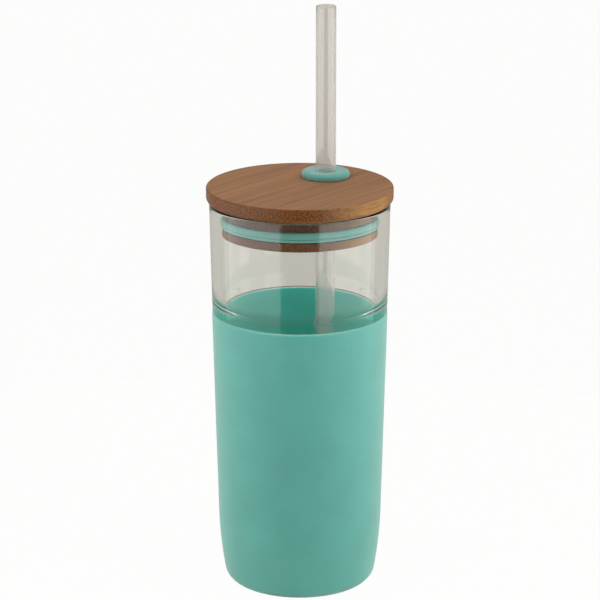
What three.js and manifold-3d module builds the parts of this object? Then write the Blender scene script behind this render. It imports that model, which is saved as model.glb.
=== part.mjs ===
// Drinking glass with a lid and a straw. A thick glass tumbler stands in a silicone sleeve. A turned
// bamboo lid plugs its mouth, held by a two-lipped silicone seal ring, and a straw slides through a
// silicone grommet in the lid.
//
// Millimetres, +Z up. The origin is on the turning axis, in the plane that the sleeve stands on.
// The straw stands on the +Y side. Every round piece is turned from an outline of (radius, height).

import * as THREE from 'three';
import { mergeVertices } from 'three/addons/utils/BufferGeometryUtils.js';
import Module from 'manifold-3d';

// ---------------------------------------------------------------- driving dimensions

const clearance = 0.3;                      // gap left between pieces that touch

// Tumbler
const rimHeight = 177;
const mouthRadius = 40.2;                  // outside of the glass at the rim
const upperTaper = degrees(1.32);           // wall above the shoulder
const lowerTaper = degrees(1.5);           // wall below it, and the sleeve around it
const clearBand = 50.2;                     // bare glass between the rim and the shoulder
const upperWall = 4.15;
const lowerWall = 3.9;
const glassBase = 7;
const floorCorner = 5;                      // rounding inside, between floor and wall
const rimRounding = 1.6;
const shoulderRounding = 0.8;
const shoulderFillet = 0.5;
const innerShoulderRise = 8.3;              // height of the soft step inside, at the shoulder
const puntRadius = 20;
const puntDepth = 1.5;

// Sleeve
const sleeveWall = 1.6;
const sleeveProud = 0.2;                    // how far the sleeve stands out from the bare glass
const sleeveLipRounding = 0.6;
const heelHeight = 33;                      // where the straight wall starts to curve inwards
const heelRadius = 190;
const baseCorner = 6.3;
const footRecessRadius = 17;
const footRecessDepth = 0.5;

// Lid
const lidThickness = 6.6;
const lidOverhang = 1.3;
const lidTopRounding = 0.8;
const lidUnderRounding = 2.1;
const plugDepth = 14.2;
const plugSideGap = 1.15;
const plugChamfer = 1;

// Seal ring
const sealDrop = 5.3;                       // from the underside of the lid's disc to the seal
const sealHeight = 4.6;
const sealGrooveDepth = 2;
const sealLipRoot = 1.8;                    // thickness of the ring behind its two lips
const sealValley = 0.6;                     // gap between the lips at their roots

// Grommet
const grommetWall = 2.4;
const flangeLip = 3.55;
const flangeHeight = 3;
const flangeUnderRounding = 1.1;
const flangeTopRounding = 2.6;
const neckRecess = 2;                       // how far the neck stops short of the plug's underside
const neckLeadIn = 1;

// Straw
const strawRadius = 4.5;
const strawWall = 0.8;
const strawRise = 77.4;                     // straw standing above the lid
const strawFloorGap = 5;
const strawEdge = 0.2;
const strawInset = 0.14;                    // from the flat floor's edge to the straw's side

// Facets
const bodyFacets = 56;
const grommetFacets = 32;
const strawFacets = 24;

// ---------------------------------------------------------------- sizes that follow

const shoulderHeight = rimHeight - clearBand;
const upperRadiusAt = (z) => mouthRadius - (rimHeight - z) * Math.tan(upperTaper);
const upperInnerRadiusAt = (z) => upperRadiusAt(z) - upperWall / Math.cos(upperTaper);

const sleeveTop = shoulderHeight - clearance;
const sleeveTopRadius = upperRadiusAt(shoulderHeight) + sleeveProud;
const sleeveRadiusAt = (z) => sleeveTopRadius - (sleeveTop - z) * Math.tan(lowerTaper);

// Insets of each surface from the sleeve's outside.
const glassInset = sleeveWall + clearance;
const cavityInset = glassInset + lowerWall;

const glassBottom = sleeveWall + clearance;
const glassFloor = glassBottom + glassBase;

const lidUnderside = rimHeight + clearance;
const lidTop = lidUnderside + lidThickness;
const lidRadius = mouthRadius + lidOverhang;
const plugBottom = lidUnderside - plugDepth;
const plugRadius = upperInnerRadiusAt(plugBottom) - plugSideGap;

const sealTop = lidUnderside - sealDrop;
const sealBottom = sealTop - sealHeight;
const sealGrooveRadius = plugRadius - sealGrooveDepth;
const sealInnerRadius = sealGrooveRadius + clearance;
const sealTipRadius = upperInnerRadiusAt(sealBottom) - clearance;

const boreRadius = strawRadius + clearance;
const neckRadius = boreRadius + grommetWall;
const flangeRadius = neckRadius + flangeLip;
const neckBottom = plugBottom + neckRecess;

const cavity = lowerOutline(cavityInset, glassFloor, floorCorner, shoulderHeight);
const flatFloorRadius = cavity[0].x;
const strawOffset = flatFloorRadius - strawInset - strawRadius;
const strawBottom = glassFloor + strawFloorGap;
const strawTop = lidTop + strawRise;

// ---------------------------------------------------------------- outline helpers

function degrees(angle) {
	return THREE.MathUtils.degToRad(angle);
}

function at(radius, height) {
	return new THREE.Vector2(radius, height);
}

// Points on an arc, with angles anticlockwise from straight out. It is part of an ellipse where the
// upright radius is given too.
function arc(centre, radius, from, to, steps, uprightRadius = radius) {
	const points = [];
	for (let step = 0; step <= steps; step++) {
		const angle = from + ((to - from) * step) / steps;
		points.push(at(centre.x + radius * Math.cos(angle), centre.y + uprightRadius * Math.sin(angle)));
	}
	return points;
}

// The lower body's outline, at an inset from the sleeve's outside: up round the corner from a flat
// floor, up the long curve of the heel and up the straight wall to the given height.
function lowerOutline(inset, floor, corner, top) {
	const tilt = lowerTaper;
	const heel = at(
		sleeveRadiusAt(heelHeight) - heelRadius * Math.cos(tilt),
		heelHeight + heelRadius * Math.sin(tilt),
	);
	const heelArc = heelRadius - inset;
	const cornerHeight = floor + corner;
	const reach = Math.sqrt((heelArc - corner) ** 2 - (cornerHeight - heel.y) ** 2);
	const cornerCentre = at(heel.x + reach, cornerHeight);
	const meeting = Math.atan2(cornerCentre.y - heel.y, cornerCentre.x - heel.x);
	return [
		...arc(cornerCentre, corner, -Math.PI / 2, meeting, 5),
		...arc(heel, heelArc, meeting, -tilt, 4).slice(1),
		at(sleeveRadiusAt(top) - inset / Math.cos(tilt), top),
	];
}

// ---------------------------------------------------------------- solids

// Turns an outline about the upright axis. The outline runs with the solid on its left, and either
// starts and ends on the axis or is closed here.
function turned(outline, facets) {
	const closed = outline[0].x === 0 ? outline : [...outline, outline[0]];
	const geometry = new THREE.LatheGeometry(closed, facets);
	geometry.rotateX(Math.PI / 2);
	return geometry;
}

function piece(name, geometry, material) {
	const mesh = new THREE.Mesh(geometry, new THREE.MeshStandardMaterial(material));
	mesh.name = name;
	return mesh;
}

const manifold = await Module();
manifold.setup();

function asSolid(geometry) {
	const bare = geometry.clone();
	bare.deleteAttribute('normal');
	bare.deleteAttribute('uv');
	const merged = mergeVertices(bare, 1e-4);
	return new manifold.Manifold(new manifold.Mesh({
		numProp: 3,
		vertProperties: new Float32Array(merged.attributes.position.array),
		triVerts: new Uint32Array(merged.index.array),
	}));
}

function asGeometry(solid) {
	const mesh = solid.getMesh();
	const geometry = new THREE.BufferGeometry();
	geometry.setAttribute('position', new THREE.BufferAttribute(mesh.vertProperties, 3));
	geometry.setIndex(new THREE.BufferAttribute(mesh.triVerts, 1));
	geometry.computeVertexNormals();
	return geometry;
}

// ---------------------------------------------------------------- the pieces

function siliconeSleeve() {
	const outside = lowerOutline(0, 0, baseCorner, sleeveTop - sleeveLipRounding);
	const inside = lowerOutline(sleeveWall, sleeveWall, baseCorner - sleeveWall, sleeveTop);
	const lipCentre = at(outside.at(-1).x - sleeveLipRounding, sleeveTop - sleeveLipRounding);
	const outline = [
		at(0, footRecessDepth),
		at(footRecessRadius, footRecessDepth),
		at(footRecessRadius + footRecessDepth, 0),
		...outside,
		...arc(lipCentre, sleeveLipRounding, 0, Math.PI / 2, 2).slice(1),
		...inside.reverse(),
		at(0, sleeveWall),
	];
	return piece('silicone_sleeve', turned(outline, bodyFacets), {
		color: 0x6fae9f,
		roughness: 0.75,
		metalness: 0,
	});
}

// The soft step inside the tumbler, from the upper wall down to the lower one.
function innerShoulder() {
	const top = shoulderHeight + innerShoulderRise;
	const upper = at(upperInnerRadiusAt(top), top);
	const lower = cavity.at(-1);
	const half = (top - lower.y) / 2;
	const curve = new THREE.CubicBezierCurve(
		upper,
		at(upper.x, upper.y - half),
		at(lower.x, lower.y + half),
		lower,
	);
	return curve.getPoints(6);
}

function glassTumbler() {
	const puntArc = (puntRadius ** 2 + puntDepth ** 2) / (2 * puntDepth);
	const puntCentre = at(0, glassBottom + puntDepth - puntArc);
	const puntEdge = Math.acos(puntRadius / puntArc);
	const punt = arc(puntCentre, puntArc, Math.PI / 2, puntEdge, 3);
	punt[0].x = 0;

	const seat = lowerOutline(
		glassInset,
		glassBottom,
		baseCorner - glassInset,
		shoulderHeight - shoulderFillet,
	);
	const filletCentre = at(seat.at(-1).x + shoulderFillet, shoulderHeight - shoulderFillet);
	const ledgeRadius = upperRadiusAt(shoulderHeight) - shoulderRounding;
	const ledgeCentre = at(ledgeRadius, shoulderHeight + shoulderRounding);

	const round = Math.min(rimRounding, upperWall / 2);
	const roundHeight = rimHeight - round;
	const outerRim = at(upperRadiusAt(roundHeight) - round, roundHeight);
	const innerRim = at(upperInnerRadiusAt(roundHeight) + round, roundHeight);

	const outline = [
		...punt,
		...seat,
		...arc(filletCentre, shoulderFillet, Math.PI, Math.PI / 2, 2).slice(1),
		...arc(ledgeCentre, shoulderRounding, -Math.PI / 2, 0, 3),
		...arc(outerRim, round, 0, Math.PI / 2, 3),
		...arc(innerRim, round, Math.PI / 2, Math.PI, 3),
		...innerShoulder(),
		...cavity.slice(0, -1).reverse(),
		at(0, glassFloor),
	];
	return piece('glass_tumbler', turned(outline, bodyFacets), {
		color: 0xe9efe8,
		roughness: 0.03,
		metalness: 0,
		transparent: true,
		opacity: 0.35,
	});
}

function bambooLid() {
	const under = at(lidRadius - lidUnderRounding, lidUnderside + lidUnderRounding);
	const over = at(lidRadius - lidTopRounding, lidTop - lidTopRounding);
	const outline = [
		at(0, plugBottom),
		at(plugRadius - plugChamfer, plugBottom),
		at(plugRadius, plugBottom + plugChamfer),
		at(plugRadius, sealBottom - clearance),
		at(sealGrooveRadius, sealBottom - clearance),
		at(sealGrooveRadius, sealTop + clearance),
		at(plugRadius, sealTop + clearance),
		at(plugRadius, lidUnderside),
		...arc(under, lidUnderRounding, -Math.PI / 2, 0, 3),
		...arc(over, lidTopRounding, 0, Math.PI / 2, 2),
		at(0, lidTop),
	];
	const hole = new THREE.CylinderGeometry(
		neckRadius + clearance,
		neckRadius + clearance,
		2 * (lidTop - plugBottom),
		grommetFacets,
	);
	hole.rotateX(Math.PI / 2);
	hole.translate(0, strawOffset, lidTop);
	const drilled = asSolid(turned(outline, bodyFacets)).subtract(asSolid(hole));
	return piece('bamboo_lid', asGeometry(drilled), {
		color: 0x96744f,
		roughness: 0.6,
		metalness: 0,
	});
}

function lidSealRing() {
	const lipHeight = (sealHeight - sealValley) / 2;
	const lipRound = lipHeight / 2;
	const rootRadius = sealInnerRadius + sealLipRoot / 2;
	const tipCentre = (bottom) => at(sealTipRadius - lipRound, bottom + lipRound);
	const lip = (bottom) => arc(tipCentre(bottom), lipRound, -Math.PI / 2, Math.PI / 2, 4);
	const outline = [
		at(sealInnerRadius, sealBottom),
		...lip(sealBottom),
		at(rootRadius, sealBottom + lipHeight),
		at(rootRadius, sealTop - lipHeight),
		...lip(sealTop - lipHeight),
		at(sealInnerRadius, sealTop),
	];
	return piece('lid_seal_ring', turned(outline, bodyFacets), {
		color: 0x8fc0b2,
		roughness: 0.6,
		metalness: 0,
	});
}

function strawGrommet() {
	const underside = lidTop + clearance;
	const flangeTop = lidTop + flangeHeight;
	const widest = underside + flangeUnderRounding;
	const under = at(flangeRadius - flangeUnderRounding, widest);
	const over = at(flangeRadius - flangeTopRounding, widest);
	const outline = [
		at(boreRadius, neckBottom),
		at(neckRadius - neckLeadIn, neckBottom),
		at(neckRadius, neckBottom + neckLeadIn),
		at(neckRadius, underside),
		...arc(under, flangeUnderRounding, -Math.PI / 2, 0, 3),
		...arc(over, flangeTopRounding, 0, Math.PI / 2, 4, flangeTop - widest).slice(1),
		at(boreRadius, flangeTop),
	];
	const mesh = piece('straw_grommet', turned(outline, grommetFacets), {
		color: 0x74b1a2,
		roughness: 0.7,
		metalness: 0,
	});
	mesh.position.y = strawOffset;
	return mesh;
}

function straw() {
	const inner = strawRadius - strawWall;
	const outline = [
		at(inner, strawBottom + strawEdge),
		at(inner + strawEdge, strawBottom),
		at(strawRadius - strawEdge, strawBottom),
		at(strawRadius, strawBottom + strawEdge),
		at(strawRadius, strawTop - strawEdge),
		at(strawRadius - strawEdge, strawTop),
		at(inner + strawEdge, strawTop),
		at(inner, strawTop - strawEdge),
	];
	const mesh = piece('straw', turned(outline, strawFacets), {
		color: 0xd6d3cb,
		roughness: 0.15,
		metalness: 0,
		transparent: true,
		opacity: 0.45,
	});
	mesh.position.y = strawOffset;
	return mesh;
}

// ---------------------------------------------------------------- the assembly

const tumbler = new THREE.Group();
tumbler.add(siliconeSleeve(), glassTumbler());

const lid = new THREE.Group();
lid.add(bambooLid(), lidSealRing(), strawGrommet(), straw());
tumbler.add(lid);

export default tumbler;
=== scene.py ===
"""A glass tumbler in a silicone sleeve, with a bamboo lid and a straw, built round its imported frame."""

import math

import bmesh
import bpy
from bpy.props import FloatProperty, FloatVectorProperty, PointerProperty
from bpy.types import Operator, Panel, PropertyGroup
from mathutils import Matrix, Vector, noise


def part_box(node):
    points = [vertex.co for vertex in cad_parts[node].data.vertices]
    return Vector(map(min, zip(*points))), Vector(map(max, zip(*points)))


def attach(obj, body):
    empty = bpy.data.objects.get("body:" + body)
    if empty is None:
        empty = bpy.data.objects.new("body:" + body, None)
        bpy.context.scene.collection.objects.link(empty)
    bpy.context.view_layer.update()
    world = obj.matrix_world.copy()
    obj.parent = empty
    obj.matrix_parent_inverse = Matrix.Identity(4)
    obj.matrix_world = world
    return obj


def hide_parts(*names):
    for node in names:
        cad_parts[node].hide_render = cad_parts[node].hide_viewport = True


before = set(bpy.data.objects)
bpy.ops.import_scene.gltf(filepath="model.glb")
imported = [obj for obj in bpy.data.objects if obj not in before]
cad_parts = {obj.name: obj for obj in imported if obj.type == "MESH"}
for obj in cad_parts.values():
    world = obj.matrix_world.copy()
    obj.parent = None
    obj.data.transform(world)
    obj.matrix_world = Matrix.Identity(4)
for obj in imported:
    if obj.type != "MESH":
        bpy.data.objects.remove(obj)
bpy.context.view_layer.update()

bl_info = {
    "name": "Straw Tumbler",
    "version": (1, 0, 0),
    "blender": (4, 5, 0),
    "location": "3D View > Sidebar > Tumbler",
    "description": "Makes a sleeved glass tumbler with a bamboo lid and a straw",
    "category": "Add Mesh",
}

MM = 0.001

# How many facets go round each kind of round piece.
SLIM_FACETS = 96
WIDE_FACETS = 160
GLASS_FACETS = 192
TENT_FACETS = 48

WHITE = (1.0, 1.0, 1.0)


def sides(node):
    """A round piece's (outer radius, lowest height, highest height), from the frame."""
    low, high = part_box(node)
    return (high[0] - low[0]) / 2, low[2], high[2]


SLEEVE_RADIUS, SLEEVE_BOTTOM, SLEEVE_TOP = sides("silicone_sleeve")
GLASS_RADIUS, GLASS_BOTTOM, GLASS_RIM = sides("glass_tumbler")
LID_RADIUS, PLUG_BOTTOM, LID_TOP = sides("bamboo_lid")
SEAL_RADIUS, SEAL_BOTTOM, SEAL_TOP = sides("lid_seal_ring")
FLANGE_RADIUS, NECK_BOTTOM, FLANGE_TOP = sides("straw_grommet")
STRAW_RADIUS, STRAW_BOTTOM, STRAW_TOP = sides("straw")
STRAW_PLACE = (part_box("straw")[0][1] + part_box("straw")[1][1]) / 2


# ---------------------------------------------------------------- settings


def length(name, default, description):
    return FloatProperty(
        name=name, default=default, unit="LENGTH", min=0.0, precision=5, description=description
    )


def angle(name, default, description):
    return FloatProperty(
        name=name, default=math.radians(default), subtype="ANGLE", description=description
    )


def amount(name, default, description):
    return FloatProperty(name=name, default=default, min=0.0, description=description)


def colour(name, default, description):
    return FloatVectorProperty(
        name=name, default=default, size=3, min=0.0, max=1.0, subtype="COLOR", description=description
    )


class BodySettings(PropertyGroup):
    """The shape that the tumbler's lower half and its sleeve share."""

    taper: angle("Lower taper", 1.5, "Lean of the wall below the shoulder")
    heel_height: length("Heel height", 33 * MM, "Where the straight wall starts to curve in")
    heel_radius: length("Heel radius", 190 * MM, "Long curve between the wall and the base corner")
    base_corner: length("Base corner", 6.3 * MM, "Rounding between the heel and the underside")


class SleeveSettings(PropertyGroup):
    """The silicone sleeve."""

    grip: length("Grip", 0.04 * MM, "How far the stretched silicone presses onto the glass")
    lip: length("Lip rounding", 0.5 * MM, "Rounding of the top edge")
    lean: length("Lip lean", 0.1 * MM, "How far the thinned top edge leans in")
    lean_height: length("Lean height", 3.2 * MM, "Height over which the edge leans in")
    recess_radius: length("Foot recess", 17 * MM, "Radius of the shallow recess underneath")
    recess_depth: length("Recess depth", 0.5 * MM, "Depth of the recess underneath")
    unevenness: length("Unevenness", 0.06 * MM, "Depth of the moulded wall's soft waviness")
    wave: length("Wave", 30 * MM, "Size of the moulded wall's soft waviness")
    depth: length("Depth", 4 * MM, "How deep light goes into the silicone")
    tint: colour("Tint", (0.122, 0.44, 0.385), "Mint silicone")
    # Painted light: the sleeve's inside is made paler in place of light that shines through the silicone
    # and bounces about inside the glass.
    inside_light: FloatVectorProperty(
        name="Inside light", default=(1.46, 1.4, 1.5), size=3, min=0.0, description="How much paler the inside is"
    )


class GlassSettings(PropertyGroup):
    """The tumbler."""

    upper_taper: angle("Upper taper", 1.32, "Lean of the wall above the shoulder")
    clear_band: length("Clear band", 50.2 * MM, "Bare glass between rim and shoulder")
    upper_wall: length("Upper wall", 4.15 * MM, "Wall above the shoulder")
    lower_wall: length("Lower wall", 3.9 * MM, "Wall behind the sleeve")
    inset: length("Inset", 1.9 * MM, "From the sleeve's outside to the glass")
    base: length("Base", 7 * MM, "Thickness of the base")
    floor_corner: length("Floor corner", 5 * MM, "Rounding between floor and wall, inside")
    rim_rounding: length("Rim rounding", 1.0 * MM, "Rounding of the rim's edges")
    shoulder_rounding: length("Shoulder rounding", 0.45 * MM, "Rounding of the step outside")
    shoulder_fillet: length("Shoulder fillet", 0.5 * MM, "Rounding of the corner under the step")
    inner_rise: length("Inner step", 8.3 * MM, "Height of the soft step inside")
    seam_height: length("Seam height", 4.8 * MM, "Height of the mould seam above the step")
    seam_half: length("Seam half", 0.6 * MM, "Half of the mould seam's height")
    seam_proud: length("Seam", 0.1 * MM, "How far the mould seam stands out")
    punt_radius: length("Punt radius", 20 * MM, "Radius of the hollow underneath")
    punt_depth: length("Punt depth", 1.5 * MM, "Depth of the hollow underneath")
    tint: colour("Tint", (0.995, 0.99, 0.975), "Faint warmth of the surface")
    depth_tint: colour("Depth tint", (0.7, 0.95, 0.93), "Faint green of the glass's depth")
    depth_density: amount("Depth density", 12.0, "How strong the depth's green is")


class LidSettings(PropertyGroup):
    """The bamboo lid."""

    disc: length("Disc thickness", 6.6 * MM, "Thickness of the disc")
    top_rounding: length("Top rounding", 0.8 * MM, "Rounding of the upper edge")
    under_rounding: length("Under rounding", 2.1 * MM, "Rounding of the lower edge")
    plug_radius: length("Plug radius", 34.58 * MM, "Radius of the plug in the mouth")
    plug_edge: length("Plug edge", 1.0 * MM, "Rounding of the plug's lower edge")
    groove: length("Groove depth", 2.0 * MM, "Depth of the seal's groove")
    groove_edge: length("Groove edge", 0.15 * MM, "Rounding of the groove's two edges")
    gap: length("Gap", 0.3 * MM, "Gap between the wood and the silicone set into it")
    grain: angle("Grain direction", 85.8, "Direction of the grain, from the X axis")
    strip: length("Strip width", 5.6 * MM, "Width of one laminated bamboo strip")
    top_tint: colour("Face grain", (0.335, 0.162, 0.074), "Colour of the top, along the grain")
    # Partly the wood's own colour along the grain, partly painted light: the sides are paler and more
    # orange than the top in place of light from the tent's side walls.
    side_tint_and_light: colour("Side grain and light", (0.4, 0.2, 0.062), "Colour of the side, along the grain")
    end_tint: colour("End grain", (0.15, 0.047, 0.005), "Colour across the grain")
    # Painted shade: darkens the plug under the disc in place of the shadow of the lid's overhang and the
    # glass's rim.
    painted_shade_tint: colour("Painted shade", (0.3, 0.34, 0.3), "Darkening of the plug where it has been damp")


class SealSettings(PropertyGroup):
    """The seal ring."""

    gap: length("Gap", 0.2 * MM, "Gap between the ring and the groove's floor")
    lip: length("Lip", 0.9 * MM, "How far the two lips bulge")
    valley: amount("Valley", 0.36, "Height of the valley between the lips, as a share of the ring's")
    step: length("Lip step", 0.5 * MM, "How far the lower lip stands back")
    depth: length("Depth", 0.6 * MM, "How deep light goes into the silicone")
    tint: colour("Tint", (0.14, 0.38, 0.33), "Mint silicone")


class GrommetSettings(PropertyGroup):
    """The straw grommet."""

    neck_radius: length("Neck radius", 7.2 * MM, "Outside of the neck in the lid's hole")
    neck_rounding: length("Neck rounding", 1.0 * MM, "Rounding of the neck's lower edge")
    gap: length("Gap", 0.05 * MM, "Gap between the flange and the lid")
    under_rounding: length("Under rounding", 0.7 * MM, "Lower rounding of the flange")
    side: length("Side", 0.7 * MM, "Height of the flange's upright side")
    top_rounding: length("Top rounding", 2.0 * MM, "Upper rounding of the flange")
    grip: length("Grip", 0.12 * MM, "Gap between the bore's lip and the straw")
    lip_rounding: length("Lip rounding", 0.5 * MM, "Rounding of the bore's upper edge")
    lip_depth: length("Lip depth", 2.0 * MM, "From the top to the end of the bore's lip")
    relief: length("Relief", 0.4 * MM, "How much wider the bore is below its lip")
    relief_slope: length("Relief slope", 1.0 * MM, "Height over which the bore widens")
    depth: length("Depth", 1.5 * MM, "How deep light goes into the silicone")
    tint: colour("Tint", (0.125, 0.36, 0.31), "Mint silicone")


class StrawSettings(PropertyGroup):
    """The straw."""

    wall: length("Wall", 0.8 * MM, "Thickness of the tube's wall")
    edge: length("Edge", 0.3 * MM, "Rounding of the two ends")
    tint: colour("Tint", (0.84, 0.82, 0.785), "Slightly milky clear plastic")


class StageSettings(PropertyGroup):
    """Floor, light tent and camera."""

    camera_distance: length("Camera distance", 1.4, "From the lens to the tumbler")
    camera_pitch: angle("Camera pitch", 16.77, "How far the camera looks down")
    camera_turn: angle("Camera turn", 35.8, "Turn about the tumbler, from the straw's side")
    aim_height: length("Aim height", 0.1311, "Height that the camera looks at")
    lens: FloatProperty(name="Lens", default=188.1, description="Focal length in millimetres")
    shift: FloatProperty(name="Shift", default=0.0003, description="Sideways shift of the frame")
    tent_radius: length("Tent radius", 0.3, "Radius of the light tent")
    tent_height: length("Tent height", 0.8, "Height of the light tent")
    opening: angle("Tent opening", 24, "Half of the tent's open front")
    side_end: angle("Side end", 107, "Where the tent's side walls meet its back wall")
    left_glow: amount("Left glow", 1.4, "Brightness of the tent's left wall")
    right_glow: amount("Right glow", 1.6, "Brightness of the tent's right wall")
    back_glow: amount("Back glow", 0.57, "Brightness of the tent's back wall")
    top_glow: amount("Top glow", 1.0, "Brightness of the tent's roof")
    room: colour("Room", (0.15, 0.15, 0.15), "Dim room outside the tent")
    backdrop: colour("Backdrop", (1.0, 0.955, 0.86), "Warm white of the tent's back wall")
    floor: colour("Floor", (0.985, 0.985, 0.98), "Plain pale floor")
    floor_glow: amount("Floor glow", 0.985, "Brightness of the plain pale floor")
    floor_reach: length("Floor reach", 4.0, "Radius of the plain pale floor")
    floor_rise: length("Floor rise", 2.5, "Height of the floor's curved edge")
    tent_floor: colour("Tent floor", (0.78, 0.76, 0.7), "Cloth on the tent's floor")


# ---------------------------------------------------------------- outlines


def arc(centre, radius, start, end, steps, upright=None):
    """Points on an arc, with angles in degrees anticlockwise from straight out."""
    upright = radius if upright is None else upright
    points = []
    for step in range(steps + 1):
        turn = math.radians(start + (end - start) * step / steps)
        points.append((centre[0] + radius * math.cos(turn), centre[1] + upright * math.sin(turn)))
    return points


def straight(start, end, steps):
    """Points between two ends, without the ends themselves."""
    return [
        (start[0] + (end[0] - start[0]) * step / steps, start[1] + (end[1] - start[1]) * step / steps)
        for step in range(1, steps)
    ]


def wall_radius(body, height):
    """Outside of the sleeve's straight wall at a height."""
    return SLEEVE_RADIUS - (SLEEVE_TOP - height) * math.tan(body.taper)


def lower_outline(body, inset, floor, corner, top, steps=10):
    """Up round the corner from a flat floor, up the heel's long curve and up the wall."""
    heel_x = wall_radius(body, body.heel_height) - body.heel_radius * math.cos(body.taper)
    heel_z = body.heel_height + body.heel_radius * math.sin(body.taper)
    heel = body.heel_radius - inset
    centre_z = floor + corner
    reach = math.sqrt((heel - corner) ** 2 - (centre_z - heel_z) ** 2)
    meeting = math.degrees(math.atan2(centre_z - heel_z, reach))
    wall_foot = arc((heel_x, heel_z), heel, meeting, -math.degrees(body.taper), steps)
    wall_head = (wall_radius(body, top) - inset / math.cos(body.taper), top)
    return (
        arc((heel_x + reach, centre_z), corner, -90, meeting, steps)
        + wall_foot[1:]
        + straight(wall_foot[-1], wall_head, steps)
        + [wall_head]
    )


# ---------------------------------------------------------------- meshes


def turned(name, outline, segments, place=0.0):
    """A round piece, turned about an upright axis at (0, place).

    An outline that starts off the axis is closed into a ring.
    """
    closed = outline[0][0] > 0
    mesh = bmesh.new()
    rings = []
    for radius, height in outline:
        if radius <= 0:
            rings.append([mesh.verts.new((0.0, place, height))] * segments)
            continue
        ring = []
        for step in range(segments):
            turn = math.tau * step / segments
            spot = (radius * math.sin(turn), place + radius * math.cos(turn), height)
            ring.append(mesh.verts.new(spot))
        rings.append(ring)
    pairs = list(zip(rings, rings[1:]))
    if closed:
        pairs.append((rings[-1], rings[0]))
    for lower, upper in pairs:
        for step in range(segments):
            following = (step + 1) % segments
            corners = [lower[step], lower[following], upper[following], upper[step]]
            mesh.faces.new(list(dict.fromkeys(corners)))
    bmesh.ops.recalc_face_normals(mesh, faces=mesh.faces)
    data = bpy.data.meshes.new(name)
    mesh.to_mesh(data)
    mesh.free()
    smooth(data, 50)
    return linked(name, data)


def smooth(data, sharp):
    """Smooth shading, with the edges that turn by more than an angle in degrees kept sharp."""
    data.shade_smooth()
    data.set_sharp_from_angle(angle=math.radians(sharp))


def linked(name, data):
    """An object in the scene, at the origin, made from its data."""
    made = bpy.data.objects.new(name, data)
    bpy.context.scene.collection.objects.link(made)
    return made


def even_shading(piece):
    """Flat faces keep flat shading beside their small roundings."""
    modifier = piece.modifiers.new("Even shading", "WEIGHTED_NORMAL")
    modifier.keep_sharp = True


def lets_light_in(piece):
    """What stands behind a clear piece is lit as if the piece weren't there, but is seen through it."""
    piece.visible_diffuse = False
    piece.visible_shadow = False
    return piece


def sleeve_outside(body, point):
    """Whether a point is on the sleeve's straight outer wall, below its thinned edge."""
    thinned = 4 * MM
    skin = 0.5 * MM
    radius = Vector((point.x, point.y)).length
    straight_wall = body.heel_height < point.z < SLEEVE_TOP - thinned
    return straight_wall and radius > wall_radius(body, point.z) - skin


def ripple(vertices, depth, size):
    """Moves the points of a moulded wall in and out by a soft, fixed noise."""
    for vertex in vertices:
        out = Vector((vertex.co.x, vertex.co.y, 0.0))
        vertex.co += out.normalized() * noise.noise(vertex.co / size) * depth


def place_piece(piece, body, node, material):
    """Puts a finished piece in the frame in place of its CAD node."""
    piece.data.materials.append(material)
    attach(piece, body)
    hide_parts(node)


# ---------------------------------------------------------------- materials


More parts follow.
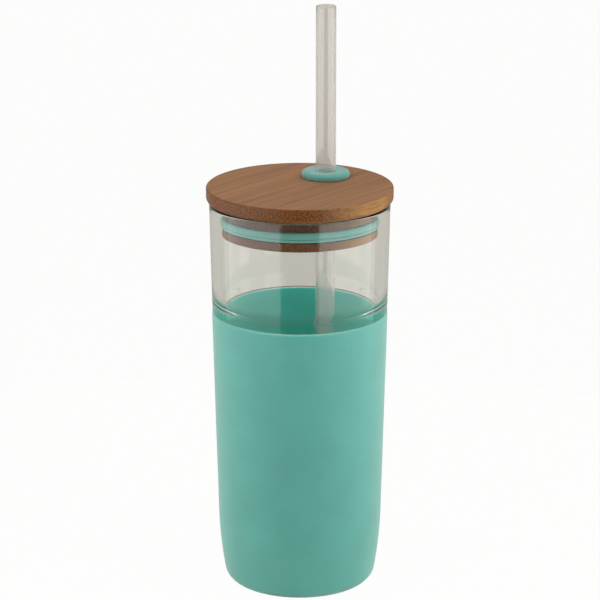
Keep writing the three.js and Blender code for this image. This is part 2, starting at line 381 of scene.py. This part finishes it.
class Shader:
    """A material's nodes, made one by one and joined by their sockets."""

    def __init__(self, name):
        self.material = bpy.data.materials.new(name)
        self.material.use_nodes = True
        self.tree = self.material.node_tree
        self.tree.nodes.clear()
        self.output = self.tree.nodes.new("ShaderNodeOutputMaterial")
        self.surface = self.tree.nodes.new("ShaderNodeBsdfPrincipled")
        self.tree.links.new(self.surface.outputs[0], self.output.inputs["Surface"])

    def node(self, kind, settings=None, **inputs):
        """A node with its settings and inputs. An input is a number, a colour or another socket."""
        made = self.tree.nodes.new("ShaderNode" + kind)
        for key, value in (settings or {}).items():
            setattr(made, key, value)
        for key, value in inputs.items():
            self.feed(made, key, value)
        return made

    def feed(self, made, key, value):
        """Sets one input, found by its name with _ for spaces, or by its number after an underscore."""
        numbered = key[1:].isdigit()
        socket = made.inputs[int(key[1:]) if numbered else key.replace("_", " ")]
        if isinstance(value, bpy.types.NodeSocket):
            self.tree.links.new(value, socket)
        elif socket.type == "RGBA" and len(value) == 3:
            socket.default_value = (*value, 1.0)
        else:
            socket.default_value = value

    def finish(self, **inputs):
        """Sets the shader's own inputs."""
        for key, value in inputs.items():
            self.feed(self.surface, key, value)
        return self.material

    def place(self, turn=0.0, scale=(1.0, 1.0, 1.0)):
        """Position on the piece, turned about the upright axis and scaled."""
        spot = self.node("TexCoord").outputs["Object"]
        turned_spot = self.node("Mapping", Vector=spot, Rotation=(0.0, 0.0, turn)).outputs[0]
        return self.node("Mapping", Vector=turned_spot, Scale=scale).outputs[0]

    def normal(self):
        """Direction that the piece's surface faces."""
        return self.node("TexCoord").outputs["Normal"]

    def math(self, operation, first, second=0.0):
        """One or two values put through a named operation, such as MULTIPLY."""
        return self.node("Math", {"operation": operation}, _0=first, _1=second).outputs[0]

    def noise(self, place, scale, detail=2.0, roughness=0.5):
        """Soft noise from 0 to 1, with its scale in waves to the metre."""
        made = self.node("TexNoise", Vector=place, Scale=scale, Detail=detail, Roughness=roughness)
        return made.outputs["Fac"]

    def span(self, value, low, high, new_low=0.0, new_high=1.0):
        """Stretches the values between low and high to the new limits, and stops at them."""
        made = self.node(
            "MapRange", Value=value, From_Min=low, From_Max=high, To_Min=new_low, To_Max=new_high
        )
        return made.outputs[0]

    def mix(self, factor, first, second, blend="MIX"):
        """From the first colour to the second as the factor goes from 0 to 1."""
        settings = {"data_type": "RGBA", "blend_type": blend}
        return self.node("Mix", settings, _0=factor, _6=first, _7=second).outputs[2]

    def darker(self, factor, tone, by):
        """A colour that goes to itself times another as the factor goes from 0 to 1."""
        return self.mix(factor, tone, self.mix(1.0, tone, by, "MULTIPLY"))

    def bump(self, height, strength, distance, normal=None):
        """Relief of a height over a distance in metres, on top of another relief if there is one."""
        made = self.node("Bump", Height=height, Strength=strength, Distance=distance)
        if normal is not None:
            self.tree.links.new(normal, made.inputs["Normal"])
        return made.outputs[0]


def shade(tint, factor):
    """A colour made lighter or darker."""
    return tuple(min(1.0, part * factor) for part in tint)


def silicone(name, tint, roughness, sheen, depth, inside_light=WHITE):
    """Matte moulded silicone: a soft mottle, a fine matte grain and a little settled dust, with painted
    light that makes the inside paler.
    """
    shader = Shader(name)
    place = shader.place()
    dust_tint = (0.62, 0.72, 0.68)
    dust_cover = 0.1
    mottle = shader.noise(place, scale=55.0, detail=3.0)
    grain = shader.noise(place, scale=2600.0)
    dust = shader.noise(place, scale=900.0, detail=1.0)
    tone = shader.mix(shader.span(mottle, 0.3, 0.7), shade(tint, 0.95), shade(tint, 1.05))
    speck = shader.span(dust, 0.7, 0.78)
    dusty = shader.mix(shader.math("MULTIPLY", speck, dust_cover), tone, dust_tint)
    fine = shader.bump(grain, strength=0.25, distance=0.06 * MM)
    # Painted light: surfaces that face the axis are multiplied by a paler colour, in place of light coming
    # through the silicone.
    facing = shader.node(
        "VectorMath", {"operation": "DOT_PRODUCT"}, _0=shader.normal(), _1=place
    ).outputs["Value"]
    inner = shader.mix(shader.span(facing, 0.0, -5 * MM), WHITE, inside_light)
    return shader.finish(
        Base_Color=shader.mix(1.0, dusty, inner, "MULTIPLY"),
        Roughness=shader.span(mottle, 0.3, 0.7, roughness - 0.04, roughness + 0.05),
        Normal=shader.bump(mottle, strength=0.12, distance=0.6 * MM, normal=fine),
        Sheen_Weight=sheen,
        Sheen_Roughness=0.45,
        Subsurface_Weight=1.0,
        Subsurface_Radius=(0.35, 1.0, 0.85),
        Subsurface_Scale=depth,
        IOR=1.42,
    )


def clear_glass(glass):
    """Thick clear glass, faintly green in its depth, with a faint wave from the mould."""
    shader = Shader("Clear glass")
    depth = shader.node("VolumeAbsorption", Color=glass.depth_tint, Density=glass.depth_density)
    shader.tree.links.new(depth.outputs[0], shader.output.inputs["Volume"])
    wave = shader.noise(shader.place(scale=(1.0, 1.0, 0.35)), scale=38.0, detail=1.0)
    handling = shader.noise(shader.place(), scale=140.0, detail=3.0)
    return shader.finish(
        Base_Color=glass.tint,
        Roughness=shader.span(handling, 0.55, 0.75, 0.0, 0.02),
        Normal=shader.bump(wave, strength=0.12, distance=0.4 * MM),
        Transmission_Weight=1.0,
        IOR=1.43,
    )


def clear_plastic(tint):
    """Slightly smoky clear tube with faint lines from its drawing."""
    shader = Shader("Clear plastic")
    lines = shader.noise(shader.place(scale=(1.0, 1.0, 0.02)), scale=900.0)
    haze = shader.noise(shader.place(), scale=220.0)
    return shader.finish(
        Base_Color=tint,
        Roughness=shader.span(haze, 0.3, 0.7, 0.04, 0.09),
        Normal=shader.bump(lines, strength=0.015, distance=0.1 * MM),
        Transmission_Weight=0.85,
        IOR=1.55,
    )


def bamboo(lid):
    """Laminated bamboo: streaks along the grain, dots across it, sides in a paler tint that is partly
    painted light, and painted shade on the plug under the disc.
    """
    shader = Shader("Bamboo")
    along, across, upright = shader.node("SeparateXYZ", Vector=shader.place(turn=-lid.grain)).outputs
    normal = shader.normal()

    strip = shader.math("DIVIDE", across, lid.strip)
    strip_number = shader.math("FLOOR", strip)
    strip_tone = shader.node("TexWhiteNoise", {"noise_dimensions": "1D"}, W=strip_number).outputs["Value"]
    edge = shader.math("ABSOLUTE", shader.math("SUBTRACT", shader.math("FRACT", strip), 0.5))
    glue = shader.span(edge, 0.47, 0.495)

    wander = 1.2 * MM
    strip_spot = shader.node("CombineXYZ", X=along, Y=strip_number).outputs[0]
    drift = shader.noise(strip_spot, scale=22.0, detail=1.0)
    bent = shader.math("ADD", across, shader.math("MULTIPLY", drift, wander))
    # Fibres run about fifty times as long as they are wide.
    stretched = shader.math("MULTIPLY", along, 0.02)
    fibre_spot = shader.node("CombineXYZ", X=stretched, Y=bent, Z=upright).outputs[0]
    fine = shader.noise(fibre_spot, scale=1900.0, detail=3.0, roughness=0.6)
    medium = shader.noise(fibre_spot, scale=950.0)
    broad = shader.noise(fibre_spot, scale=420.0)

    up = shader.math("ABSOLUTE", shader.node("SeparateXYZ", Vector=normal).outputs[2])
    # Top and sides get different colours by which way they face: partly grain, partly painted light on the
    # sides.
    face = shader.mix(shader.span(up, 0.3, 0.8), lid.side_tint_and_light, lid.top_tint)
    strip_shade = shader.mix(strip_tone, (0.93, 0.93, 0.93), (1.07, 1.07, 1.07))
    face = shader.mix(1.0, face, strip_shade, "MULTIPLY")
    dark = (0.55, 0.5, 0.45)
    face = shader.darker(shader.span(broad, 0.6, 0.4, 0.0, 0.32), face, dark)
    face = shader.darker(shader.span(medium, 0.5, 0.68, 0.0, 0.42), face, dark)
    face = shader.darker(shader.span(fine, 0.52, 0.75, 0.0, 0.6), face, dark)
    face = shader.darker(shader.math("MULTIPLY", glue, 0.4), face, dark)

    section = shader.node("CombineXYZ", X=bent, Y=upright).outputs[0]
    cells = shader.node("TexVoronoi", {"voronoi_dimensions": "2D"}, Vector=section, Scale=1150.0)
    dot = shader.span(cells.outputs["Distance"], 0.42, 0.2)
    cut = shader.mix(shader.span(broad, 0.35, 0.65), shade(lid.end_tint, 0.68), shade(lid.end_tint, 0.88))
    cut = shader.mix(shader.math("MULTIPLY", dot, 0.75), cut, shade(lid.end_tint, 2.0))

    grain_normal = shader.node(
        "Mapping", {"vector_type": "NORMAL"}, Vector=normal, Rotation=(0.0, 0.0, -lid.grain)
    ).outputs[0]
    end = shader.math("ABSOLUTE", shader.node("SeparateXYZ", Vector=grain_normal).outputs[0])
    end_grain = shader.span(end, 0.15, 0.6)
    wood = shader.mix(end_grain, face, cut)

    # Painted shade on the plug below the disc, deepest just under the overhang, in place of the shadow that
    # the overhang and the glass's rim would cast.
    underside = LID_TOP - lid.disc
    blur = 0.5 * MM
    shaded = shader.span(upright, PLUG_BOTTOM, underside - blur, 0.25, 0.8)
    plug = shader.span(upright, underside + blur, underside - blur)
    painted_shade = shader.math("MULTIPLY", shaded, plug)
    relief = shader.mix(end_grain, fine, shader.math("SUBTRACT", 1.0, dot))
    return shader.finish(
        Base_Color=shader.darker(painted_shade, wood, lid.painted_shade_tint),
        Roughness=shader.span(end_grain, 0.0, 1.0, 0.72, 0.4),
        Normal=shader.bump(relief, strength=0.35, distance=0.12 * MM),
        IOR=1.45,
        Specular_IOR_Level=0.45,
    )


# ---------------------------------------------------------------- pieces


class TUMBLER_OT_sleeve(Operator):
    """Makes the silicone sleeve"""

    bl_idname = "tumbler.sleeve"
    bl_label = "Silicone sleeve"

    def execute(self, context):
        body, sleeve = context.scene.tumbler_body, context.scene.tumbler_sleeve
        glass = context.scene.tumbler_glass
        lean_foot = SLEEVE_TOP - sleeve.lean_height
        outside = lower_outline(body, 0.0, SLEEVE_BOTTOM, body.base_corner, lean_foot, 14)
        lip_foot = SLEEVE_TOP - sleeve.lip
        lip_x = wall_radius(body, lip_foot) - sleeve.lean - sleeve.lip
        lean = []
        lean_steps = 8
        for step in range(1, lean_steps):
            part = step / lean_steps
            height = lean_foot + (lip_foot - lean_foot) * part
            lean.append((wall_radius(body, height) - sleeve.lean * part**2, height))
        inset = glass.inset + sleeve.grip
        seat = GLASS_BOTTOM + sleeve.grip
        inside = lower_outline(body, inset, seat, body.base_corner - inset, SLEEVE_TOP)
        recess = sleeve.recess_radius
        recess_top = SLEEVE_BOTTOM + sleeve.recess_depth
        outline = [
            (0.0, recess_top),
            (recess * 0.5, recess_top),
            (recess, recess_top),
            (recess + sleeve.recess_depth, SLEEVE_BOTTOM),
            *outside,
            *lean,
            *arc((lip_x, lip_foot), sleeve.lip, 0, 90, 6),
            *reversed(inside),
            (0.0, seat),
        ]
        piece = turned("sleeve_body", outline, WIDE_FACETS)
        outer = [vertex for vertex in piece.data.vertices if sleeve_outside(body, vertex.co)]
        ripple(outer, sleeve.unevenness, sleeve.wave)
        even_shading(piece)
        material = silicone(
            "Mint sleeve silicone", sleeve.tint, 0.5, sheen=0.5, depth=sleeve.depth, inside_light=sleeve.inside_light
        )
        place_piece(piece, "sleeve", "silicone_sleeve", material)
        return {"FINISHED"}


class TUMBLER_OT_glass(Operator):
    """Makes the glass tumbler"""

    bl_idname = "tumbler.glass"
    bl_label = "Glass tumbler"

    def execute(self, context):
        body, glass = context.scene.tumbler_body, context.scene.tumbler_glass
        shoulder = GLASS_RIM - glass.clear_band
        rim_foot = GLASS_RIM - glass.rim_rounding
        inset = glass.inset

        def outer(height):
            return GLASS_RADIUS - (rim_foot - height) * math.tan(glass.upper_taper)

        def inner(height):
            return outer(height) - glass.upper_wall

        punt_arc = (glass.punt_radius**2 + glass.punt_depth**2) / (2 * glass.punt_depth)
        punt_edge = math.degrees(math.acos(glass.punt_radius / punt_arc))
        punt = arc((0.0, GLASS_BOTTOM + glass.punt_depth - punt_arc), punt_arc, 90, punt_edge, 8)
        punt[0] = (0.0, punt[0][1])
        fillet = glass.shoulder_fillet
        seat = lower_outline(body, inset, GLASS_BOTTOM, body.base_corner - inset, shoulder - fillet)
        fillet_arc = arc((seat[-1][0] + fillet, shoulder - fillet), fillet, 180, 90, 5)
        rounding = glass.shoulder_rounding
        step_arc = arc((outer(shoulder) - rounding, shoulder + rounding), rounding, -90, 0, 8)
        seam = shoulder + glass.seam_height
        seam_curve = []
        seam_steps = 6
        for step in range(-seam_steps, seam_steps + 1):
            height = seam + glass.seam_half * step / seam_steps
            swell = 0.5 + 0.5 * math.cos(math.pi * step / seam_steps)
            seam_curve.append((outer(height) + glass.seam_proud * swell, height))
        rounding = glass.rim_rounding
        rim = arc((outer(rim_foot) - rounding, rim_foot), rounding, 0, 90, 8)
        rim += arc((inner(rim_foot) + rounding, rim_foot), rounding, 90, 180, 8)
        cavity = lower_outline(
            body, inset + glass.lower_wall, GLASS_BOTTOM + glass.base, glass.floor_corner, shoulder
        )
        step_top = shoulder + glass.inner_rise
        upper, lower = inner(step_top), cavity[-1][0]
        soft_step = []
        soft_steps = 16
        for step in range(soft_steps + 1):
            part = step / soft_steps
            ease = part * part * (3 - 2 * part)
            soft_step.append((upper + (lower - upper) * ease, step_top + (shoulder - step_top) * part))
        outline = [
            *punt, *seat, *fillet_arc[1:], *step_arc,
            *straight(step_arc[-1], seam_curve[0], 3), *seam_curve,
            *straight(seam_curve[-1], rim[0], 12), *rim,
            *straight(rim[-1], soft_step[0], 12), *soft_step,
            *list(reversed(cavity))[1:],
            (cavity[0][0] * 0.5, cavity[0][1]),
            (0.0, GLASS_BOTTOM + glass.base),
        ]
        piece = lets_light_in(turned("tumbler_glass", outline, GLASS_FACETS))
        place_piece(piece, "glass", "glass_tumbler", clear_glass(glass))
        return {"FINISHED"}


class TUMBLER_OT_lid(Operator):
    """Makes the turned bamboo lid"""

    bl_idname = "tumbler.lid"
    bl_label = "Bamboo lid"

    def execute(self, context):
        lid, grommet = context.scene.tumbler_lid, context.scene.tumbler_grommet
        underside = LID_TOP - lid.disc
        plug = lid.plug_radius
        groove = plug - lid.groove
        groove_low = SEAL_BOTTOM - lid.gap
        groove_high = SEAL_TOP + lid.gap
        edge = lid.groove_edge
        under, over = lid.under_rounding, lid.top_rounding
        outline = [
            (0.0, PLUG_BOTTOM),
            (plug * 0.5, PLUG_BOTTOM),
            *arc((plug - lid.plug_edge, PLUG_BOTTOM + lid.plug_edge), lid.plug_edge, -90, 0, 6),
            *arc((plug - edge, groove_low - edge), edge, 0, 90, 3),
            (groove, groove_low),
            (groove, groove_high),
            *arc((plug - edge, groove_high + edge), edge, -90, 0, 3),
            (plug, underside),
            *arc((LID_RADIUS - under, underside + under), under, -90, 0, 8),
            *arc((LID_RADIUS - over, LID_TOP - over), over, 0, 90, 6),
            (LID_RADIUS * 0.5, LID_TOP),
            (0.0, LID_TOP),
        ]
        piece = turned("lid_bamboo", outline, WIDE_FACETS)
        self.drill(context, piece, grommet.neck_radius + lid.gap)
        smooth(piece.data, 40)
        even_shading(piece)
        place_piece(piece, "lid", "bamboo_lid", bamboo(lid))
        return {"FINISHED"}

    def drill(self, context, piece, radius):
        """Cuts the straw's hole right through the lid."""
        reach = LID_TOP - PLUG_BOTTOM
        low, high = PLUG_BOTTOM - reach, LID_TOP + reach
        outline = [(0.0, low), (radius, low), (radius, high), (0.0, high)]
        bit = turned("drill", outline, SLIM_FACETS, STRAW_PLACE)
        cut = piece.modifiers.new("Straw hole", "BOOLEAN")
        cut.operation = "DIFFERENCE"
        cut.solver = "EXACT"
        cut.object = bit
        drilled = bpy.data.meshes.new_from_object(piece.evaluated_get(context.evaluated_depsgraph_get()))
        piece.modifiers.clear()
        piece.data = drilled
        bpy.data.objects.remove(bit)


class TUMBLER_OT_seal(Operator):
    """Makes the two-lipped seal ring"""

    bl_idname = "tumbler.seal"
    bl_label = "Seal ring"

    def execute(self, context):
        seal, lid = context.scene.tumbler_seal, context.scene.tumbler_lid
        inside = lid.plug_radius - lid.groove + seal.gap
        valley = SEAL_BOTTOM + (SEAL_TOP - SEAL_BOTTOM) * seal.valley
        meeting = 68  # degrees round each lip from its tip to the valley
        reach = 1 + math.sin(math.radians(meeting))
        low_half = (valley - SEAL_BOTTOM) / reach
        high_half = (SEAL_TOP - valley) / reach
        high_x = SEAL_RADIUS - seal.lip
        low_x = high_x - seal.step
        outline = [
            (inside, SEAL_BOTTOM),
            *arc((low_x, SEAL_BOTTOM + low_half), seal.lip, -90, meeting, 12, low_half),
            *arc((high_x, SEAL_TOP - high_half), seal.lip, -meeting, 90, 14, high_half),
            (inside, SEAL_TOP),
        ]
        piece = turned("seal_ring", outline, WIDE_FACETS)
        even_shading(piece)
        material = silicone("Mint seal silicone", seal.tint, 0.45, sheen=0.1, depth=seal.depth)
        place_piece(piece, "seal", "lid_seal_ring", material)
        return {"FINISHED"}


class TUMBLER_OT_grommet(Operator):
    """Makes the straw grommet"""

    bl_idname = "tumbler.grommet"
    bl_label = "Straw grommet"

    def execute(self, context):
        grommet = context.scene.tumbler_grommet
        seat = LID_TOP + grommet.gap
        under, over = grommet.under_rounding, grommet.top_rounding
        widest = seat + under
        round_foot = widest + grommet.side
        neck, neck_end = grommet.neck_radius, grommet.neck_rounding
        bore = STRAW_RADIUS + grommet.grip
        mouth = bore + grommet.lip_rounding
        wide_bore = bore + grommet.relief
        lip_end = FLANGE_TOP - grommet.lip_depth
        outline = [
            (mouth, NECK_BOTTOM),
            *arc((neck - neck_end, NECK_BOTTOM + neck_end), neck_end, -90, 0, 5),
            (neck, seat),
            *arc((FLANGE_RADIUS - under, widest), under, -90, 0, 8),
            *arc((FLANGE_RADIUS - over, round_foot), over, 0, 90, 14, FLANGE_TOP - round_foot),
            *arc((mouth, FLANGE_TOP - grommet.lip_rounding), grommet.lip_rounding, 90, 180, 5),
            (bore, lip_end),
            (wide_bore, lip_end - grommet.relief_slope),
            (wide_bore, NECK_BOTTOM + grommet.relief_slope),
        ]
        piece = turned("grommet_body", outline, SLIM_FACETS, STRAW_PLACE)
        even_shading(piece)
        material = silicone("Mint grommet silicone", grommet.tint, 0.6, sheen=0.25, depth=grommet.depth)
        place_piece(piece, "lid", "straw_grommet", material)
        return {"FINISHED"}


class TUMBLER_OT_straw(Operator):
    """Makes the straw"""

    bl_idname = "tumbler.straw"
    bl_label = "Straw"

    def execute(self, context):
        straw = context.scene.tumbler_straw
        edge = straw.edge
        inner = STRAW_RADIUS - straw.wall
        outline = [
            *arc((inner + edge, STRAW_BOTTOM + edge), edge, 180, 270, 4),
            *arc((STRAW_RADIUS - edge, STRAW_BOTTOM + edge), edge, -90, 0, 4),
            *straight((STRAW_RADIUS, STRAW_BOTTOM), (STRAW_RADIUS, STRAW_TOP), 16),
            *arc((STRAW_RADIUS - edge, STRAW_TOP - edge), edge, 0, 90, 4),
            *arc((inner + edge, STRAW_TOP - edge), edge, 90, 180, 4),
            *straight((inner, STRAW_TOP), (inner, STRAW_BOTTOM), 16),
        ]
        piece = lets_light_in(turned("straw_tube", outline, SLIM_FACETS, STRAW_PLACE))
        place_piece(piece, "straw_body", "straw", clear_plastic(straw.tint))
        return {"FINISHED"}


# ---------------------------------------------------------------- stage


def glow(name, tint, strength):
    """A plain glowing material for the light tent."""
    material = bpy.data.materials.new(name)
    material.use_nodes = True
    nodes = material.node_tree.nodes
    nodes.clear()
    emission = nodes.new("ShaderNodeEmission")
    emission.inputs["Color"].default_value = (*tint, 1.0)
    emission.inputs["Strength"].default_value = strength
    output = nodes.new("ShaderNodeOutputMaterial")
    material.node_tree.links.new(emission.outputs[0], output.inputs["Surface"])
    return material


def plain(name, tint):
    """A plain matte material for the stage."""
    material = bpy.data.materials.new(name)
    material.use_nodes = True
    surface = material.node_tree.nodes["Principled BSDF"]
    surface.inputs["Base Color"].default_value = (*tint, 1.0)
    surface.inputs["Roughness"].default_value = 0.9
    return material


def stage_sheet(name, points, faces, material, seen=False):
    """A surface of the stage, hidden from the camera unless it is meant to be seen."""
    data = bpy.data.meshes.new(name)
    data.from_pydata(points, [], faces)
    data.materials.append(material)
    made = linked(name, data)
    made.visible_camera = seen
    return made


def tent_wall(name, stage, start, end, material):
    """An upright curved wall of the tent, between two angles from the camera's side."""
    front = stage.camera_turn - math.pi / 2
    panel = 6  # degrees
    steps = max(4, round(math.degrees(end - start) / panel))
    points = []
    for height in (0.0, stage.tent_height):
        for step in range(steps + 1):
            turn = front + start + (end - start) * step / steps
            points.append((stage.tent_radius * math.cos(turn), stage.tent_radius * math.sin(turn), height))
    row = steps + 1
    faces = [(step, step + 1, row + step + 1, row + step) for step in range(steps)]
    stage_sheet(name, points, faces, material)


def tent_disc(name, stage, height, material):
    """A round level surface as wide as the tent."""
    turns = [math.tau * step / TENT_FACETS for step in range(TENT_FACETS)]
    radius = stage.tent_radius
    points = [(radius * math.cos(turn), radius * math.sin(turn), height) for turn in turns]
    stage_sheet(name, points, [tuple(range(TENT_FACETS))], material)


class TUMBLER_OT_stage(Operator):
    """Makes the floor, the light tent and the camera"""

    bl_idname = "tumbler.stage"
    bl_label = "Stage"

    def execute(self, context):
        stage = context.scene.tumbler_stage
        self.floor(stage)
        self.tent(stage)
        self.room(context, stage)
        self.camera(context, stage)
        return {"FINISHED"}

    def floor(self, stage):
        """A pale sweep with an even glow, which lights nothing and shows almost no shadow."""
        reach, rise = stage.floor_reach, stage.floor_rise
        outline = [(radius, 0.0) for radius in (0.0, 0.4, 1.5, reach)]
        outline += arc((reach, rise), rise, -90, 0, 24)[1:]
        drop = 0.2 * MM
        lit_share = 0.01
        rings = []
        points, faces = [], []
        for radius, height in outline:
            rings.append(len(points))
            for step in range(SLIM_FACETS):
                turn = math.tau * step / SLIM_FACETS
                points.append((radius * math.cos(turn), radius * math.sin(turn), height - drop))
        for lower, upper in zip(rings, rings[1:]):
            for step in range(SLIM_FACETS):
                following = (step + 1) % SLIM_FACETS
                faces.append((lower + step, lower + following, upper + following, upper + step))
        material = plain("Pale floor", shade(stage.floor, lit_share))
        surface = material.node_tree.nodes["Principled BSDF"]
        surface.inputs["Specular IOR Level"].default_value = 0.1
        surface.inputs["Emission Color"].default_value = (*stage.floor, 1.0)
        surface.inputs["Emission Strength"].default_value = stage.floor_glow
        floor = stage_sheet("floor", points, faces, material, seen=True)
        floor.visible_diffuse = False
        floor.visible_glossy = False
        floor.visible_transmission = False
        floor.visible_shadow = False
        floor.data.shade_smooth()

    def tent(self, stage):
        """Walls with an opening towards the camera, a roof, and the tent's own floor."""
        side_end, opening = stage.side_end, stage.opening
        right = glow("Tent right", WHITE, stage.right_glow)
        left = glow("Tent left", WHITE, stage.left_glow)
        back = glow("Tent back", stage.backdrop, stage.back_glow)
        tent_wall("tent_right", stage, opening, side_end, right)
        tent_wall("tent_back", stage, side_end, math.tau - side_end, back)
        tent_wall("tent_left", stage, math.tau - side_end, math.tau - opening, left)
        tent_disc("tent_roof", stage, stage.tent_height, glow("Tent roof", WHITE, stage.top_glow))
        tent_disc("tent_floor", stage, -0.4 * MM, plain("Tent floor", stage.tent_floor))

    def room(self, context, stage):
        """The dim room outside the tent."""
        world = bpy.data.worlds.new("Room")
        world.use_nodes = True
        world.node_tree.nodes["Background"].inputs["Color"].default_value = (*stage.room, 1.0)
        context.scene.world = world
        context.scene.view_settings.view_transform = "Standard"

    def camera(self, context, stage):
        """The camera, turned about the tumbler and looking down at it."""
        data = bpy.data.cameras.new("Camera")
        data.lens = stage.lens
        data.clip_end = 20.0
        data.shift_x = stage.shift
        made = linked("Camera", data)
        turn = stage.camera_turn - math.pi / 2
        flat = stage.camera_distance * math.cos(stage.camera_pitch)
        target = Vector((0.0, 0.0, stage.aim_height))
        rise = stage.camera_distance * math.sin(stage.camera_pitch)
        made.location = target + Vector((flat * math.cos(turn), flat * math.sin(turn), rise))
        made.rotation_euler = (target - made.location).to_track_quat("-Z", "Y").to_euler()
        context.scene.camera = made


# ---------------------------------------------------------------- panel and running


PIECES = (
    TUMBLER_OT_sleeve,
    TUMBLER_OT_glass,
    TUMBLER_OT_lid,
    TUMBLER_OT_seal,
    TUMBLER_OT_grommet,
    TUMBLER_OT_straw,
    TUMBLER_OT_stage,
)
SETTINGS = {
    "tumbler_body": BodySettings,
    "tumbler_sleeve": SleeveSettings,
    "tumbler_glass": GlassSettings,
    "tumbler_lid": LidSettings,
    "tumbler_seal": SealSettings,
    "tumbler_grommet": GrommetSettings,
    "tumbler_straw": StrawSettings,
    "tumbler_stage": StageSettings,
}


class TUMBLER_PT_panel(Panel):
    """Lists the pieces of the tumbler and their sizes"""

    bl_label = "Straw Tumbler"
    bl_idname = "TUMBLER_PT_panel"
    bl_space_type = "VIEW_3D"
    bl_region_type = "UI"
    bl_category = "Tumbler"

    def draw(self, context):
        for piece in PIECES:
            self.layout.operator(piece.bl_idname)
        for name in SETTINGS:
            settings = getattr(context.scene, name)
            box = self.layout.box()
            for key in settings.__annotations__:
                box.prop(settings, key)


def register():
    for settings in SETTINGS.values():
        bpy.utils.register_class(settings)
    for name, settings in SETTINGS.items():
        setattr(bpy.types.Scene, name, PointerProperty(type=settings))
    for piece in PIECES:
        bpy.utils.register_class(piece)
    bpy.utils.register_class(TUMBLER_PT_panel)


def unregister():
    bpy.utils.unregister_class(TUMBLER_PT_panel)
    for piece in reversed(PIECES):
        bpy.utils.unregister_class(piece)
    for name, settings in SETTINGS.items():
        delattr(bpy.types.Scene, name)
        bpy.utils.unregister_class(settings)


def main():
    register()
    for piece in PIECES:
        getattr(bpy.ops.tumbler, piece.bl_idname.split(".")[1])()


if __name__ == "__main__":
    main()
